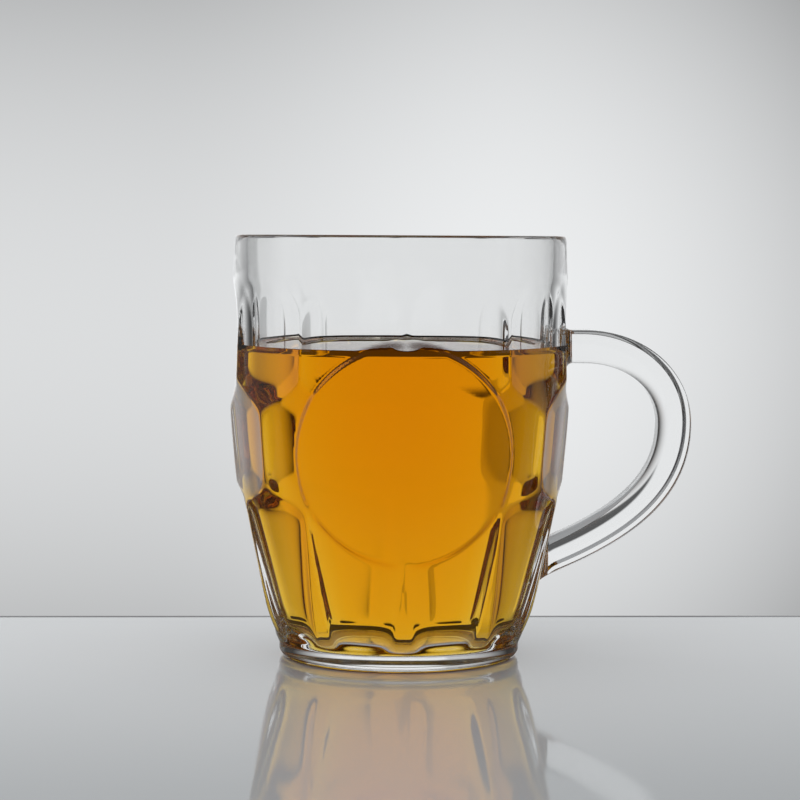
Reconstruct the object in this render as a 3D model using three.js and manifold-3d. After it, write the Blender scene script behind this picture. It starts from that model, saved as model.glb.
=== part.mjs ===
// A pressed glass mug with a stuck-on loop handle, standing on its foot, with a drink in it.
// Millimetres, +Z up. The origin is the middle of the foot. The handle points along +X and the
// round medallion faces -Y.
import * as THREE from "three";
import { mergeVertices } from "three/addons/utils/BufferGeometryUtils.js";
import Module from "manifold-3d";

// Outside of the bowl at the level of the ribs: heights and radii from the foot to the rim
const HEIGHT = 103.2;
const RIM_RADIUS = 40.5;
const LIP_ROUND = 1.45;
const BELLY_HEIGHT = 65.2;
const BELLY_RADIUS = 41.8;
const SHOULDER_HEIGHT = 42.2;
const SHOULDER_RADIUS = 40;
const FLARE_HEIGHT = 26.2;
const FLARE_RADIUS = 36.8;
const BASE_HEIGHT = 12;
const BASE_RADIUS = 33.3;
const FOOT_HEIGHT = 3.3;
const FOOT_RADIUS = 29.6;
const FOOT_ROUND = 2.4;

// Glass thickness between the ribs and the smooth inside
const RIM_WALL = 2.9;
const BELLY_WALL = 4.9;
const SHOULDER_WALL = 5.6;
const FLARE_WALL = 6.4;
const FLOOR_THICKNESS = 4.6;
const FLOOR_CORNER = 13;

// Pressed hollows round the bowl, in staggered rows: two rows of thumb facets that meet in ridges
const COLUMNS = 10;
const UPPER_HEIGHT = 78;
const UPPER_DEPTH = 1.6;
const UPPER_RISE = 14;
const UPPER_FALL = 16.8;
const UPPER_SHARPNESS = 3.4;
const UPPER_TOP_SHARPNESS = 2;
const UPPER_FOOT_SHARPNESS = 4;
const MIDDLE_HEIGHT = 53.7;
const MIDDLE_DEPTH = 1.8;
const MIDDLE_RISE = 15;
const MIDDLE_FALL = 15;
const MIDDLE_SHARPNESS = 2.6;
const MIDDLE_END_SHARPNESS = 3;

// Row of upright flutes under the facets, with round tops, a ledge at the foot and ribs that widen to it
const FLUTE_BOTTOM = 5.4;
const FLUTE_TOP = 42.7;
const FLUTE_LEDGE = 9.5;
const FLUTE_ARCH = 8;
const FLUTE_FOOT_DEPTH = 2;
const FLUTE_TOP_DEPTH = 1.7;
const FLUTE_FOOT_SPAN = 0.76;
const FLUTE_SHARPNESS = 3.4;

// Shift of a row that has a ridge, not a hollow, at the front
const HALF_COLUMN = 0.5;

// Round bare medallion that the hollows stop at
const MEDALLION_RADIUS = 25;
const MEDALLION_HEIGHT = 52.2;
const MEDALLION_ROOT = 3;
const MEDALLION_SIDES = 48;

// Loop handle in the XZ plane, a bar with round edges in front and chamfers behind
const HANDLE_REACH = 71.5;
const HANDLE_REACH_HEIGHT = 57.2;
const HANDLE_TOP_HEIGHT = 76.2;
const HANDLE_FOOT_HEIGHT = 24.4;
const HANDLE_THICKNESS = 8.2;
const HANDLE_WIDTH = 10.4;
const HANDLE_FRONT_ROUND = 1.2;
const HANDLE_CHAMFER = 1.4;
const HANDLE_CHAMFER_ANGLE = 54;
const HANDLE_TOP_BOW = 12;
const HANDLE_OUTER_BOW = 11.5;
const HANDLE_LOWER_BOW = 17;
const HANDLE_FOOT_BOW = 18;
const HANDLE_FOOT_ANGLE = 20;

// Drink in the bowl
const DRINK_LEVEL = 75.4;

// Gap between pieces that touch, and how finely the round shapes are cut
const SEAT_GAP = 0.3;
const STEPS_PER_COLUMN = 10;
const ROW_PITCH = 3.3;
const INNER_PITCH = 9;
const HANDLE_STEPS = 36;
const DRINK_SIDES = 48;
const ARC_STEPS = 3;
const WELD_DISTANCE = 1e-4;

const wasm = await Module();
wasm.setup();

const OUTER_STATIONS = [
  [FOOT_HEIGHT, FOOT_RADIUS],
  [BASE_HEIGHT, BASE_RADIUS],
  [FLARE_HEIGHT, FLARE_RADIUS],
  [SHOULDER_HEIGHT, SHOULDER_RADIUS],
  [BELLY_HEIGHT, BELLY_RADIUS],
  [HEIGHT, RIM_RADIUS],
];
const INNER_STATIONS = [
  [FLARE_HEIGHT, FLARE_RADIUS - FLARE_WALL],
  [SHOULDER_HEIGHT, SHOULDER_RADIUS - SHOULDER_WALL],
  [BELLY_HEIGHT, BELLY_RADIUS - BELLY_WALL],
  [HEIGHT, RIM_RADIUS - RIM_WALL],
];

// Slope of the stations at index i: across its neighbours, or along the end stretch.
function stationSlope(stations, i) {
  const before = stations[Math.max(i - 1, 0)];
  const after = stations[Math.min(i + 1, stations.length - 1)];
  return (after[1] - before[1]) / (after[0] - before[0]);
}

// Radius at a height on a smooth curve through [height, radius] stations, straight past its ends.
function radiusAt(stations, height) {
  const last = stations.length - 1;
  if (height <= stations[0][0])
    return stations[0][1] + stationSlope(stations, 0) * (height - stations[0][0]);
  if (height >= stations[last][0])
    return stations[last][1] + stationSlope(stations, last) * (height - stations[last][0]);
  const i = stations.findIndex((station) => station[0] > height) - 1;
  const span = stations[i + 1][0] - stations[i][0];
  const t = (height - stations[i][0]) / span;
  const s = 1 - t;
  return (
    stations[i][1] * s * s * (1 + 2 * t) +
    stations[i + 1][1] * t * t * (3 - 2 * t) +
    span * (stationSlope(stations, i) * t * s * s - stationSlope(stations, i + 1) * t * t * s)
  );
}

const FACET_ROWS = [
  {
    shift: HALF_COLUMN,
    height: UPPER_HEIGHT,
    depth: UPPER_DEPTH,
    rise: UPPER_RISE,
    fall: UPPER_FALL,
    sharpness: UPPER_SHARPNESS,
    topSharpness: UPPER_TOP_SHARPNESS,
    footSharpness: UPPER_FOOT_SHARPNESS,
  },
  {
    shift: 0,
    height: MIDDLE_HEIGHT,
    depth: MIDDLE_DEPTH,
    rise: MIDDLE_RISE,
    fall: MIDDLE_FALL,
    sharpness: MIDDLE_SHARPNESS,
    topSharpness: MIDDLE_END_SHARPNESS,
    footSharpness: MIDDLE_END_SHARPNESS,
  },
];

// How far an angle lies from the middle of its column, in columns.
function offColumn(angle, shift) {
  const turns = (angle * COLUMNS) / (2 * Math.PI) - shift;
  return Math.abs(turns - Math.round(turns));
}

// Depth of a row's facets at an angle from the front and a height, negative beyond them.
function facetDepth(row, angle, height) {
  const along = height - row.height;
  const across = 2 * offColumn(angle, row.shift);
  const ends = along > 0 ? (along / row.rise) ** row.topSharpness : (-along / row.fall) ** row.footSharpness;
  return row.depth * (1 - across ** row.sharpness - ends);
}

// Depth of the flutes at an angle from the front and a height, negative beyond them.
function fluteDepth(angle, height) {
  const spring = FLUTE_TOP - FLUTE_ARCH;
  const share = THREE.MathUtils.clamp((height - FLUTE_BOTTOM) / (spring - FLUTE_BOTTOM), 0, 1);
  const span = THREE.MathUtils.lerp(FLUTE_FOOT_SPAN, 1, share);
  const deepest = THREE.MathUtils.lerp(FLUTE_FOOT_DEPTH, FLUTE_TOP_DEPTH, share);
  const across = (2 * offColumn(angle, HALF_COLUMN)) / span;
  const over = Math.max(height - spring, 0) / FLUTE_ARCH;
  const rise = THREE.MathUtils.clamp((height - FLUTE_BOTTOM) / FLUTE_LEDGE, 0, 1);
  return deepest * (1 - over ** 2 - across ** FLUTE_SHARPNESS) * rise * (2 - rise);
}

// Depth of the pressed hollows at an angle from the front and a height.
function hollowDepth(angle, height) {
  const facets = FACET_ROWS.map((row) => facetDepth(row, angle, height));
  return Math.max(0, fluteDepth(angle, height), ...facets);
}

// Evenly spaced heights from one to another, no further apart than the pitch.
function heights(from, to, pitch) {
  const count = Math.ceil((to - from) / pitch);
  return Array.from({ length: count + 1 }, (_, i) => from + ((to - from) * i) / count);
}

// Points of an arc in the profile plane, from one angle to another, in degrees from the +r axis.
function arcPoints(r, z, radius, from, to) {
  return Array.from({ length: ARC_STEPS + 1 }, (_, i) => {
    const angle = THREE.MathUtils.degToRad(from + ((to - from) * i) / ARC_STEPS);
    return new THREE.Vector2(r + radius * Math.cos(angle), z + radius * Math.sin(angle));
  });
}

// Outside profile from the middle of the foot to the top of the wall, grown outwards by a margin.
function outsideProfile(top, margin) {
  const footRound = Math.min(FOOT_ROUND, FOOT_HEIGHT);
  const foot = arcPoints(FOOT_RADIUS - footRound, footRound, footRound + margin, -90, 0);
  const wall = heights(FOOT_HEIGHT, top, ROW_PITCH).map(
    (z) => new THREE.Vector2(radiusAt(OUTER_STATIONS, z) + margin, z),
  );
  return { foot, wall };
}

// Inside profile from the rim down to the middle of the floor, drawn in by a margin, from a top height.
function insideProfile(top, margin) {
  const slope = stationSlope(INNER_STATIONS, 0);
  const tangent = 90 - THREE.MathUtils.radToDeg(Math.atan(slope));
  const cornerCentre = FLOOR_THICKNESS + FLOOR_CORNER;
  const cornerTop = cornerCentre - FLOOR_CORNER * Math.cos(THREE.MathUtils.degToRad(tangent));
  const cornerRadius =
    radiusAt(INNER_STATIONS, cornerTop) - FLOOR_CORNER * Math.sin(THREE.MathUtils.degToRad(tangent));
  const wall = heights(cornerTop, top, INNER_PITCH)
    .map((z) => new THREE.Vector2(radiusAt(INNER_STATIONS, z) - margin, z))
    .reverse();
  const corner = arcPoints(cornerRadius, cornerCentre, FLOOR_CORNER - margin, tangent - 90, -90);
  return [...wall, ...corner.slice(1), new THREE.Vector2(0, FLOOR_THICKNESS + margin)];
}

// A closed lathe about Z, with a shift of each point's radius by its place.
function turned(profile, sides, shift = () => 0) {
  const geometry = new THREE.LatheGeometry(profile, sides);
  geometry.rotateX(Math.PI / 2);
  const position = geometry.getAttribute("position");
  for (let i = 0; i < position.count; i++) {
    const x = position.getX(i);
    const y = position.getY(i);
    const radius = Math.hypot(x, y);
    if (radius < WELD_DISTANCE) continue;
    const inward = shift(i % profile.length, Math.atan2(x, -y), position.getZ(i));
    position.setXY(i, x * (1 - inward / radius), y * (1 - inward / radius));
  }
  return closed(geometry);
}

// The geometry with its shared vertices joined and nothing but their places.
function closed(geometry) {
  geometry.deleteAttribute("normal");
  geometry.deleteAttribute("uv");
  return mergeVertices(geometry, WELD_DISTANCE);
}

function toSolid(geometry) {
  const merged = closed(geometry);
  return new wasm.Manifold(
    new wasm.Mesh({
      numProp: 3,
      vertProperties: new Float32Array(merged.getAttribute("position").array),
      triVerts: new Uint32Array(merged.getIndex().array),
    }),
  );
}

function toGeometry(solid) {
  const mesh = solid.getMesh();
  const geometry = new THREE.BufferGeometry();
  geometry.setAttribute("position", new THREE.BufferAttribute(mesh.vertProperties, 3));
  geometry.setIndex(new THREE.BufferAttribute(mesh.triVerts, 1));
  geometry.computeVertexNormals();
  return geometry;
}

const SIDES = COLUMNS * STEPS_PER_COLUMN;

// A solid of the whole outside, grown by a margin, with or without the pressed hollows.
function filledBowl(margin, pressed) {
  const { foot, wall } = outsideProfile(HEIGHT, margin);
  const profile = [
    new THREE.Vector2(0, -margin),
    ...foot,
    ...wall.slice(1),
    new THREE.Vector2(0, HEIGHT),
  ];
  const firstWall = foot.length + 1;
  const press = (row, angle, height) =>
    pressed && row >= firstWall ? hollowDepth(angle, height) : 0;
  return toSolid(turned(profile, SIDES, press));
}

// The medallion: a round patch at the level of the ribs, rooted in the wall behind it.
function medallion() {
  const disc = new THREE.CylinderGeometry(
    MEDALLION_RADIUS,
    MEDALLION_RADIUS,
    BELLY_RADIUS,
    MEDALLION_SIDES,
  );
  disc.translate(0, -BELLY_RADIUS, MEDALLION_HEIGHT);
  return toSolid(disc).intersect(filledBowl(0, false)).subtract(filledBowl(-MEDALLION_ROOT, false));
}

// The bowl: foot, ribbed outside with its medallion, round lip, smooth inside and floor.
function mugBody() {
  const lip = Math.min(LIP_ROUND, RIM_WALL / 2);
  const { foot, wall } = outsideProfile(HEIGHT - lip, 0);
  const outerLip = arcPoints(RIM_RADIUS - lip, HEIGHT - lip, lip, 0, 90);
  const innerLip = arcPoints(RIM_RADIUS - RIM_WALL + lip, HEIGHT - lip, lip, 90, 180);
  const inside = insideProfile(HEIGHT - lip, 0);
  const profile = [
    new THREE.Vector2(0, 0),
    ...foot,
    ...wall.slice(1, -1),
    ...outerLip,
    ...innerLip,
    ...inside.slice(1),
  ];
  const firstWall = foot.length + 1;
  const lastWall = firstWall + wall.length - 3;
  const press = (row, angle, height) =>
    row >= firstWall && row <= lastWall ? hollowDepth(angle, height) : 0;
  return toGeometry(toSolid(turned(profile, SIDES, press)).add(medallion()));
}

// Middle line of the handle, from inside the upper wall, out round the loop and into the lower wall.
function handlePath() {
  const crest = HANDLE_REACH - HANDLE_THICKNESS / 2;
  const start = radiusAt(OUTER_STATIONS, HANDLE_TOP_HEIGHT) - BELLY_WALL;
  const end = radiusAt(OUTER_STATIONS, HANDLE_FOOT_HEIGHT) - FLARE_WALL;
  const fall = THREE.MathUtils.degToRad(HANDLE_FOOT_ANGLE);
  const sink = FLARE_WALL * Math.tan(fall);
  const point = (x, z) => new THREE.Vector3(x, 0, z);
  const leave = point(crest - HANDLE_TOP_BOW - (crest - start) / 3, HANDLE_TOP_HEIGHT);
  const path = new THREE.CurvePath();
  path.add(new THREE.LineCurve3(point(start, HANDLE_TOP_HEIGHT), leave));
  path.add(
    new THREE.CubicBezierCurve3(
      leave,
      point(leave.x + HANDLE_TOP_BOW, HANDLE_TOP_HEIGHT),
      point(crest, HANDLE_REACH_HEIGHT + HANDLE_OUTER_BOW),
      point(crest, HANDLE_REACH_HEIGHT),
    ),
  );
  path.add(
    new THREE.CubicBezierCurve3(
      point(crest, HANDLE_REACH_HEIGHT),
      point(crest, HANDLE_REACH_HEIGHT - HANDLE_LOWER_BOW),
      point(
        end + FLARE_WALL + HANDLE_FOOT_BOW * Math.cos(fall),
        HANDLE_FOOT_HEIGHT + HANDLE_FOOT_BOW * Math.sin(fall),
      ),
      point(end, HANDLE_FOOT_HEIGHT - sink),
    ),
  );
  return path;
}

// Section of the handle's bar: x is its thickness in the plane of the loop, y its width towards the back.
function handleSection() {
  const side = HANDLE_THICKNESS / 2;
  const back = HANDLE_WIDTH / 2;
  const round = Math.min(HANDLE_FRONT_ROUND, side, back);
  const chamfer = Math.min(HANDLE_CHAMFER, side);
  const fall = Math.min(chamfer * Math.tan(THREE.MathUtils.degToRad(HANDLE_CHAMFER_ANGLE)), back);
  const half = [
    ...arcPoints(side - round, round - back, round, -90, 0),
    new THREE.Vector2(side, back - fall),
    new THREE.Vector2(side - chamfer, back),
  ];
  const mirrored = half.map((point) => new THREE.Vector2(-point.x, point.y)).reverse();
  return new THREE.Shape([...half, ...mirrored]);
}

// The handle: a bar swept along its middle line, with both ends cut to the bowl.
function handle() {
  const bar = new THREE.ExtrudeGeometry(handleSection(), {
    steps: HANDLE_STEPS,
    bevelEnabled: false,
    extrudePath: handlePath(),
  });
  return toGeometry(toSolid(bar).subtract(filledBowl(SEAT_GAP, true)));
}

// The drink: what fills the inside up to its level, clear of the glass by the seat gap.
function drink() {
  const inside = insideProfile(DRINK_LEVEL, SEAT_GAP).reverse();
  return turned([...inside, new THREE.Vector2(0, DRINK_LEVEL)], DRINK_SIDES);
}

const clearGlass = new THREE.MeshStandardMaterial({
  name: "clear_glass",
  color: 0xe8eeee,
  roughness: 0.03,
  metalness: 0,
  transparent: true,
  opacity: 0.35,
});
const amberDrink = new THREE.MeshStandardMaterial({
  name: "amber_drink",
  color: 0xce7a05,
  roughness: 0.05,
  metalness: 0,
  transparent: true,
  opacity: 0.85,
});

const mug = new THREE.Group();
mug.name = "glass_mug";
for (const [name, geometry, material] of [
  ["mug_body", mugBody(), clearGlass],
  ["handle", handle(), clearGlass],
  ["drink", drink(), amberDrink],
]) {
  const piece = new THREE.Mesh(geometry, material);
  piece.name = name;
  mug.add(piece);
}

export default mug;
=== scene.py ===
"""Dresses the glass mug: the pressed bowl, the stuck-on handle and the drink that stands in the bowl.

Sizes are written in millimetres, as a glass maker would, and become metres where a mesh is made.
The origin is the middle of the foot, +Z is up, the handle points along +X and the medallion faces -Y.
"""

from __future__ import annotations

import logging
import math
from dataclasses import dataclass, field
from enum import Enum

import bpy
import numpy as np
from mathutils import Matrix, Vector
from numpy.typing import NDArray

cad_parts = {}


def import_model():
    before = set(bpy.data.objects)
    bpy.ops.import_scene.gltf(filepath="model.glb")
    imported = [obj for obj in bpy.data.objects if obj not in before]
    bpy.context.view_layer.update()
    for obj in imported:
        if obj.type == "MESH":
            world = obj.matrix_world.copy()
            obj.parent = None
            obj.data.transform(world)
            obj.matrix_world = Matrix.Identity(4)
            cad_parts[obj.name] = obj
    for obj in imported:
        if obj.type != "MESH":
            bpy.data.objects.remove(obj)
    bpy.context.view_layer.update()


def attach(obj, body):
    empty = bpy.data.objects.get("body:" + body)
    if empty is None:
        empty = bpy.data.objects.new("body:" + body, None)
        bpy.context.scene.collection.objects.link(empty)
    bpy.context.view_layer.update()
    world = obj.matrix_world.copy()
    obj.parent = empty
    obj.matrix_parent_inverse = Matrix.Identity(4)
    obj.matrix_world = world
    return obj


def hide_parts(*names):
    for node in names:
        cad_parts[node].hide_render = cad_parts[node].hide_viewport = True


LOG = logging.getLogger("glass_mug")
MM = 0.001
BODY = "root"

Floats = NDArray[np.float64]
Flags = NDArray[np.bool_]
Piece = bpy.types.Object
Material = bpy.types.Material
NodeTree = bpy.types.NodeTree
Node = bpy.types.Node
Socket = bpy.types.NodeSocket
Point = tuple[float, float]
Colour = tuple[float, float, float, float]

WHITE: Colour = (1.0, 1.0, 1.0, 1.0)
BLACK: Colour = (0.0, 0.0, 0.0, 1.0)
FULL_TURN = 2.0 * math.pi
GLASS_BOUNCES = 28
GLOSSY_BOUNCES = 16


class Slot(Enum):
    """Material slot names."""

    GLASS = "clear_glass"
    DRINK = "amber_drink"


class Skin(Enum):
    """Material slots on a glass piece: open to the air, fused to its neighbour, or wetted by the drink."""

    OPEN = 0
    FUSED = 1
    WETTED = 2


class Operation(Enum):
    """The sums that the node graphs use."""

    SUBTRACT = "SUBTRACT"
    MULTIPLY = "MULTIPLY"
    DIVIDE = "DIVIDE"
    MAXIMUM = "MAXIMUM"
    ABSOLUTE = "ABSOLUTE"
    ARCSINE = "ARCSINE"
    ARCTAN2 = "ARCTAN2"


class Mixed(Enum):
    """What a Mix node mixes."""

    NUMBERS = "FLOAT"
    COLOURS = "RGBA"


def smoothstep(value: Floats) -> Floats:
    """Eases values from 0 to 1 and holds them beyond.

    Args:
        value: Numbers of any size.

    Returns:
        The eased numbers, each from 0 to 1.
    """
    held = np.clip(value, 0.0, 1.0)
    return held * held * (3.0 - 2.0 * held)


def soft_maximum(first: Floats, second: Floats, width: float) -> Floats:
    """Larger of two numbers, with the corner between them rounded.

    Args:
        first: Numbers of any size.
        second: Numbers of any size.
        width: Difference below which the corner is rounded.

    Returns:
        The larger numbers, a little more where the two are close.
    """
    close = np.maximum(width - np.abs(first - second), 0.0) / width
    return np.maximum(first, second) + close * close * width / 4.0


def arc(centre: Point, radius: float, start: float, end: float, steps: int) -> list[Point]:
    """Points of an arc in the profile plane.

    Args:
        centre: Radius and height of the arc's centre.
        radius: Radius of the arc itself.
        start: First angle in degrees from the outward axis.
        end: Last angle in degrees.
        steps: Number of stretches.

    Returns:
        The points as radius and height, both ends included.
    """
    angles = np.radians(np.linspace(start, end, steps + 1))
    return [(centre[0] + radius * math.cos(a), centre[1] + radius * math.sin(a)) for a in angles]


def spaced(start: float, end: float, pitch: float) -> Floats:
    """Evenly spaced numbers, both ends included, no further apart than a pitch."""
    return np.linspace(start, end, math.ceil(abs(end - start) / pitch) + 1)


class Graph:
    """Adds nodes to one node tree and links them."""

    # A Mix node's sockets for each kind of value: the amount, the two values and the result.
    MIX_SOCKETS = {Mixed.NUMBERS: (0, 2, 3, 0), Mixed.COLOURS: (0, 6, 7, 2)}

    def __init__(self, tree: NodeTree) -> None:
        """Empties the tree, so that only what is added here is in it."""
        self.tree = tree
        tree.nodes.clear()

    def node(self, kind: str, **settings: object) -> Node:
        """Adds a node.

        Args:
            kind: The node's type name.
            settings: Properties to set on it.

        Returns:
            The new node.
        """
        made = self.tree.nodes.new(kind)
        for name, value in settings.items():
            setattr(made, name, value)
        return made

    def feed(self, socket: Socket, source: object) -> None:
        """Links a socket to another socket, or sets it to a plain value."""
        if isinstance(source, Socket):
            self.tree.links.new(source, socket)
        else:
            socket.default_value = source

    def fill(self, node: Node, values: dict[str, object]) -> None:
        """Feeds several sockets of a node, each under its name."""
        for name, source in values.items():
            self.feed(node.inputs[name], source)

    def sum(self, operation: Operation, *terms: object) -> Socket:
        """Adds a Math node.

        Args:
            operation: What the node works out.
            terms: Its inputs in order, sockets or numbers.

        Returns:
            The socket of its result.
        """
        made = self.node("ShaderNodeMath", operation=operation.value)
        for socket, term in zip(made.inputs, terms):
            self.feed(socket, term)
        return made.outputs["Value"]

    def ramp(self, value: object, low: float, high: float, start: float = 0.0, end: float = 1.0) -> Socket:
        """Adds a smooth Map Range node.

        Args:
            value: The socket to map.
            low: Value at which the result is start.
            high: Value at which the result is end.
            start: First result.
            end: Last result.

        Returns:
            The socket of its result.
        """
        made = self.node("ShaderNodeMapRange", interpolation_type="SMOOTHSTEP")
        self.fill(made, {"Value": value, "From Min": low, "From Max": high, "To Min": start, "To Max": end})
        return made.outputs["Result"]

    def swept(self, angle: object, low: float, high: float, start: float = 0.0, end: float = 1.0) -> Socket:
        """Smooth ramp over an angle, between two angles in degrees, otherwise like ramp."""
        return self.ramp(angle, math.radians(low), math.radians(high), start, end)

    def bowed(self, angle: object, reach: float) -> Socket:
        """Square of an angle's share of a reach in degrees, which is 1 at the reach itself."""
        share = self.sum(Operation.DIVIDE, angle, math.radians(reach))
        return self.sum(Operation.MULTIPLY, share, share)

    def blend(self, amount: object, first: object, second: object, kind: Mixed = Mixed.NUMBERS) -> Socket:
        """Adds a Mix node.

        Args:
            amount: Share of the second value.
            first: Value at amount 0.
            second: Value at amount 1.
            kind: What the two values are.

        Returns:
            The socket of its result.
        """
        made = self.node("ShaderNodeMix", data_type=kind.value)
        *places, result = self.MIX_SOCKETS[kind]
        for place, term in zip(places, (amount, first, second)):
            self.feed(made.inputs[place], term)
        return made.outputs[result]


class CooledSkin:
    """Node group for the faint waves and haze that glass keeps from its mould."""

    NAME = "cooled_skin"
    WAVE_DETAIL = 1.0
    SMEAR_SCALE = 45.0
    SMEAR_DETAIL = 4.0
    SMEAR_RANGE = (0.45, 0.75)

    @classmethod
    def group(cls) -> NodeTree:
        """Builds the group once.

        Returns:
            The group, with inputs Wave Scale and Haze and outputs Height and Roughness.
        """
        if cls.NAME in bpy.data.node_groups:
            return bpy.data.node_groups[cls.NAME]
        tree = bpy.data.node_groups.new(cls.NAME, "ShaderNodeTree")
        for name in ("Wave Scale", "Haze"):
            tree.interface.new_socket(name, in_out="INPUT", socket_type="NodeSocketFloat")
        for name in ("Height", "Roughness"):
            tree.interface.new_socket(name, in_out="OUTPUT", socket_type="NodeSocketFloat")
        graph = Graph(tree)
        given = graph.node("NodeGroupInput")
        result = graph.node("NodeGroupOutput")
        place = graph.node("ShaderNodeTexCoord")
        at = place.outputs["Object"]
        waves = graph.node("ShaderNodeTexNoise")
        graph.fill(waves, {"Vector": at, "Scale": given.outputs["Wave Scale"], "Detail": cls.WAVE_DETAIL})
        smears = graph.node("ShaderNodeTexNoise")
        graph.fill(smears, {"Vector": at, "Scale": cls.SMEAR_SCALE, "Detail": cls.SMEAR_DETAIL})
        patches = graph.ramp(smears.outputs["Fac"], *cls.SMEAR_RANGE)
        haze = graph.sum(Operation.MULTIPLY, patches, given.outputs["Haze"])
        graph.fill(result, {"Height": waves.outputs["Fac"], "Roughness": haze})
        return tree


@dataclass(frozen=True)
class Finish:
    """A named material with a Principled shader."""

    name: str

    def started(self) -> tuple[Material, Graph, Node, Node]:
        """Makes the material with its shader linked to its output.

        Returns:
            The material, its graph, its shader and its output.
        """
        made = bpy.data.materials.new(self.name)
        made.use_nodes = True
        graph = Graph(made.node_tree)
        shader = graph.node("ShaderNodeBsdfPrincipled")
        output = graph.node("ShaderNodeOutputMaterial")
        graph.feed(output.inputs["Surface"], shader.outputs["BSDF"])
        return made, graph, shader, output


@dataclass(frozen=True)
class GlassFinish(Finish):
    """Clear glass with the faint waves and haze of its making."""

    wave_scale: float
    wave_depth: float
    haze: float
    ior: float = 1.5
    tint: Colour = (0.997, 0.999, 0.998, 1.0)
    sheen: float = 1.0

    def material(self) -> Material:
        """Makes the material.

        Returns:
            A see-through material whose waves and haze lie on Object coordinates.
        """
        made, graph, shader, _ = self.started()
        skin = graph.node("ShaderNodeGroup", node_tree=CooledSkin.group())
        bump = graph.node("ShaderNodeBump")
        graph.fill(skin, {"Wave Scale": self.wave_scale, "Haze": self.haze})
        graph.fill(bump, {"Strength": 1.0, "Distance": self.wave_depth * MM})
        graph.feed(bump.inputs["Height"], skin.outputs["Height"])
        graph.fill(
            shader,
            {
                "Base Color": self.tint,
                "Transmission Weight": 1.0,
                "IOR": self.ior,
                "Specular Tint": (self.sheen, self.sheen, self.sheen, 1.0),
                "Roughness": skin.outputs["Roughness"],
                "Normal": bump.outputs["Normal"],
            },
        )
        return made


@dataclass(frozen=True)
class FusedFinish(Finish):
    """The hidden face where two pieces of hot glass became one, so light goes straight on."""

    ior: float = 1.002

    def material(self) -> Material:
        """Makes the material.

        Returns:
            A clear material that does not bend light.
        """
        made, graph, shader, _ = self.started()
        graph.fill(shader, {"Base Color": WHITE, "Transmission Weight": 1.0})
        graph.fill(shader, {"IOR": self.ior, "Roughness": 0.0})
        return made


@dataclass(frozen=True)
class DrinkFinish(Finish):
    """A clear amber drink that darkens with depth."""

    ior: float
    sheen: float
    colour: Colour
    density: float

    def material(self) -> Material:
        """Makes the material.

        Returns:
            A clear material with its colour in its volume.
        """
        made, graph, shader, output = self.started()
        sheen = (self.sheen, self.sheen, self.sheen, 1.0)
        graph.fill(shader, {"Base Color": WHITE, "Transmission Weight": 1.0, "IOR": self.ior})
        graph.fill(shader, {"Specular Tint": sheen, "Roughness": 0.0})
        depth = graph.node("ShaderNodeVolumeAbsorption")
        graph.fill(depth, {"Color": self.colour, "Density": self.density})
        graph.feed(output.inputs["Volume"], depth.outputs["Volume"])
        return made


@dataclass(frozen=True)
class TableFinish(Finish):
    """A pale polished table top."""

    colour: Colour
    # Painted light: the lit level that the table glows with where the glass shows it, and the level of the
    # mug's painted shadow.
    shaded_colour: Colour
    shadow_colour: Colour
    roughness: float
    # Painted shade: the dark colour that the table shows where the glass mirrors it.
    mirror_shade_colour: Colour = (0.03, 0.03, 0.03, 1.0)
    # Where the painted shadow of the mug behind it and the painted shade far in front lie, in millimetres.
    shadow_half_width: float = 34.0
    shadow_soft: float = 14.0
    front_lit: float = 40.0
    front_dark: float = 120.0
    ior: float = 1.5
    specular: float = 0.5
    polish_scale: float = 14.0
    polish_detail: float = 3.0
    polish_range: Point = (0.3, 0.7)
    dull_share: Point = (0.8, 1.2)

    def material(self) -> Material:
        """Makes the material.

        Returns:
            A pale glossy material with a little uneven polish. Where the glass mirrors it, it shows a
            painted shade.
            Where the glass shows it, it glows at a painted light level, with painted shade far in front
            and a painted shadow of the mug in a strip behind it.
        """
        made, graph, shader, _ = self.started()
        place = graph.node("ShaderNodeTexCoord")
        polish = graph.node("ShaderNodeTexNoise")
        at = place.outputs["Object"]
        graph.fill(polish, {"Vector": at, "Scale": self.polish_scale, "Detail": self.polish_detail})
        dull = [share * self.roughness for share in self.dull_share]
        uneven = graph.ramp(polish.outputs["Fac"], *self.polish_range, *dull)
        rays = graph.node("ShaderNodeLightPath")
        through_glass = rays.outputs["Is Transmission Ray"]
        # Where the glass mirrors the table, its colour is a painted shade instead of its own colour.
        colour = graph.blend(rays.outputs["Is Glossy Ray"], self.colour, self.mirror_shade_colour, Mixed.COLOURS)
        # Through the glass the table is not lit but glows at a painted light level, with a painted shadow
        # behind the mug and painted shade far in front.
        colour = graph.blend(through_glass, colour, BLACK, Mixed.COLOURS)
        lit = self.lit_share(graph, at)
        emission = graph.blend(lit, self.shadow_colour, self.shaded_colour, Mixed.COLOURS)
        graph.fill(
            shader,
            {
                "Base Color": colour,
                "Emission Color": emission,
                "Emission Strength": through_glass,
                "Specular IOR Level": graph.blend(through_glass, self.specular, 0.0),
                "IOR": self.ior,
                "Roughness": uneven,
            },
        )
        return made

    def lit_share(self, graph: Graph, at: Socket) -> Socket:
        """Share of painted light on the table where the glass shows it.

        Args:
            graph: The material's graph.
            at: Places on the table.

        Returns:
            A socket with 0 in the painted shadow of the mug and in the painted shade far in front, and 1
            where the table is painted lit.
        """
        split = graph.node("ShaderNodeSeparateXYZ")
        graph.feed(split.inputs["Vector"], at)
        aside = graph.sum(Operation.ABSOLUTE, split.outputs["X"])
        start = self.shadow_half_width * MM
        beside = graph.ramp(aside, start, start + self.shadow_soft * MM)
        before = graph.ramp(split.outputs["Y"], 0.0, -self.shadow_soft * MM)
        clear_of_shade = graph.sum(Operation.MAXIMUM, beside, before)
        near = graph.ramp(split.outputs["Y"], -self.front_dark * MM, -self.front_lit * MM)
        return graph.sum(Operation.MULTIPLY, clear_of_shade, near)


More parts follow.
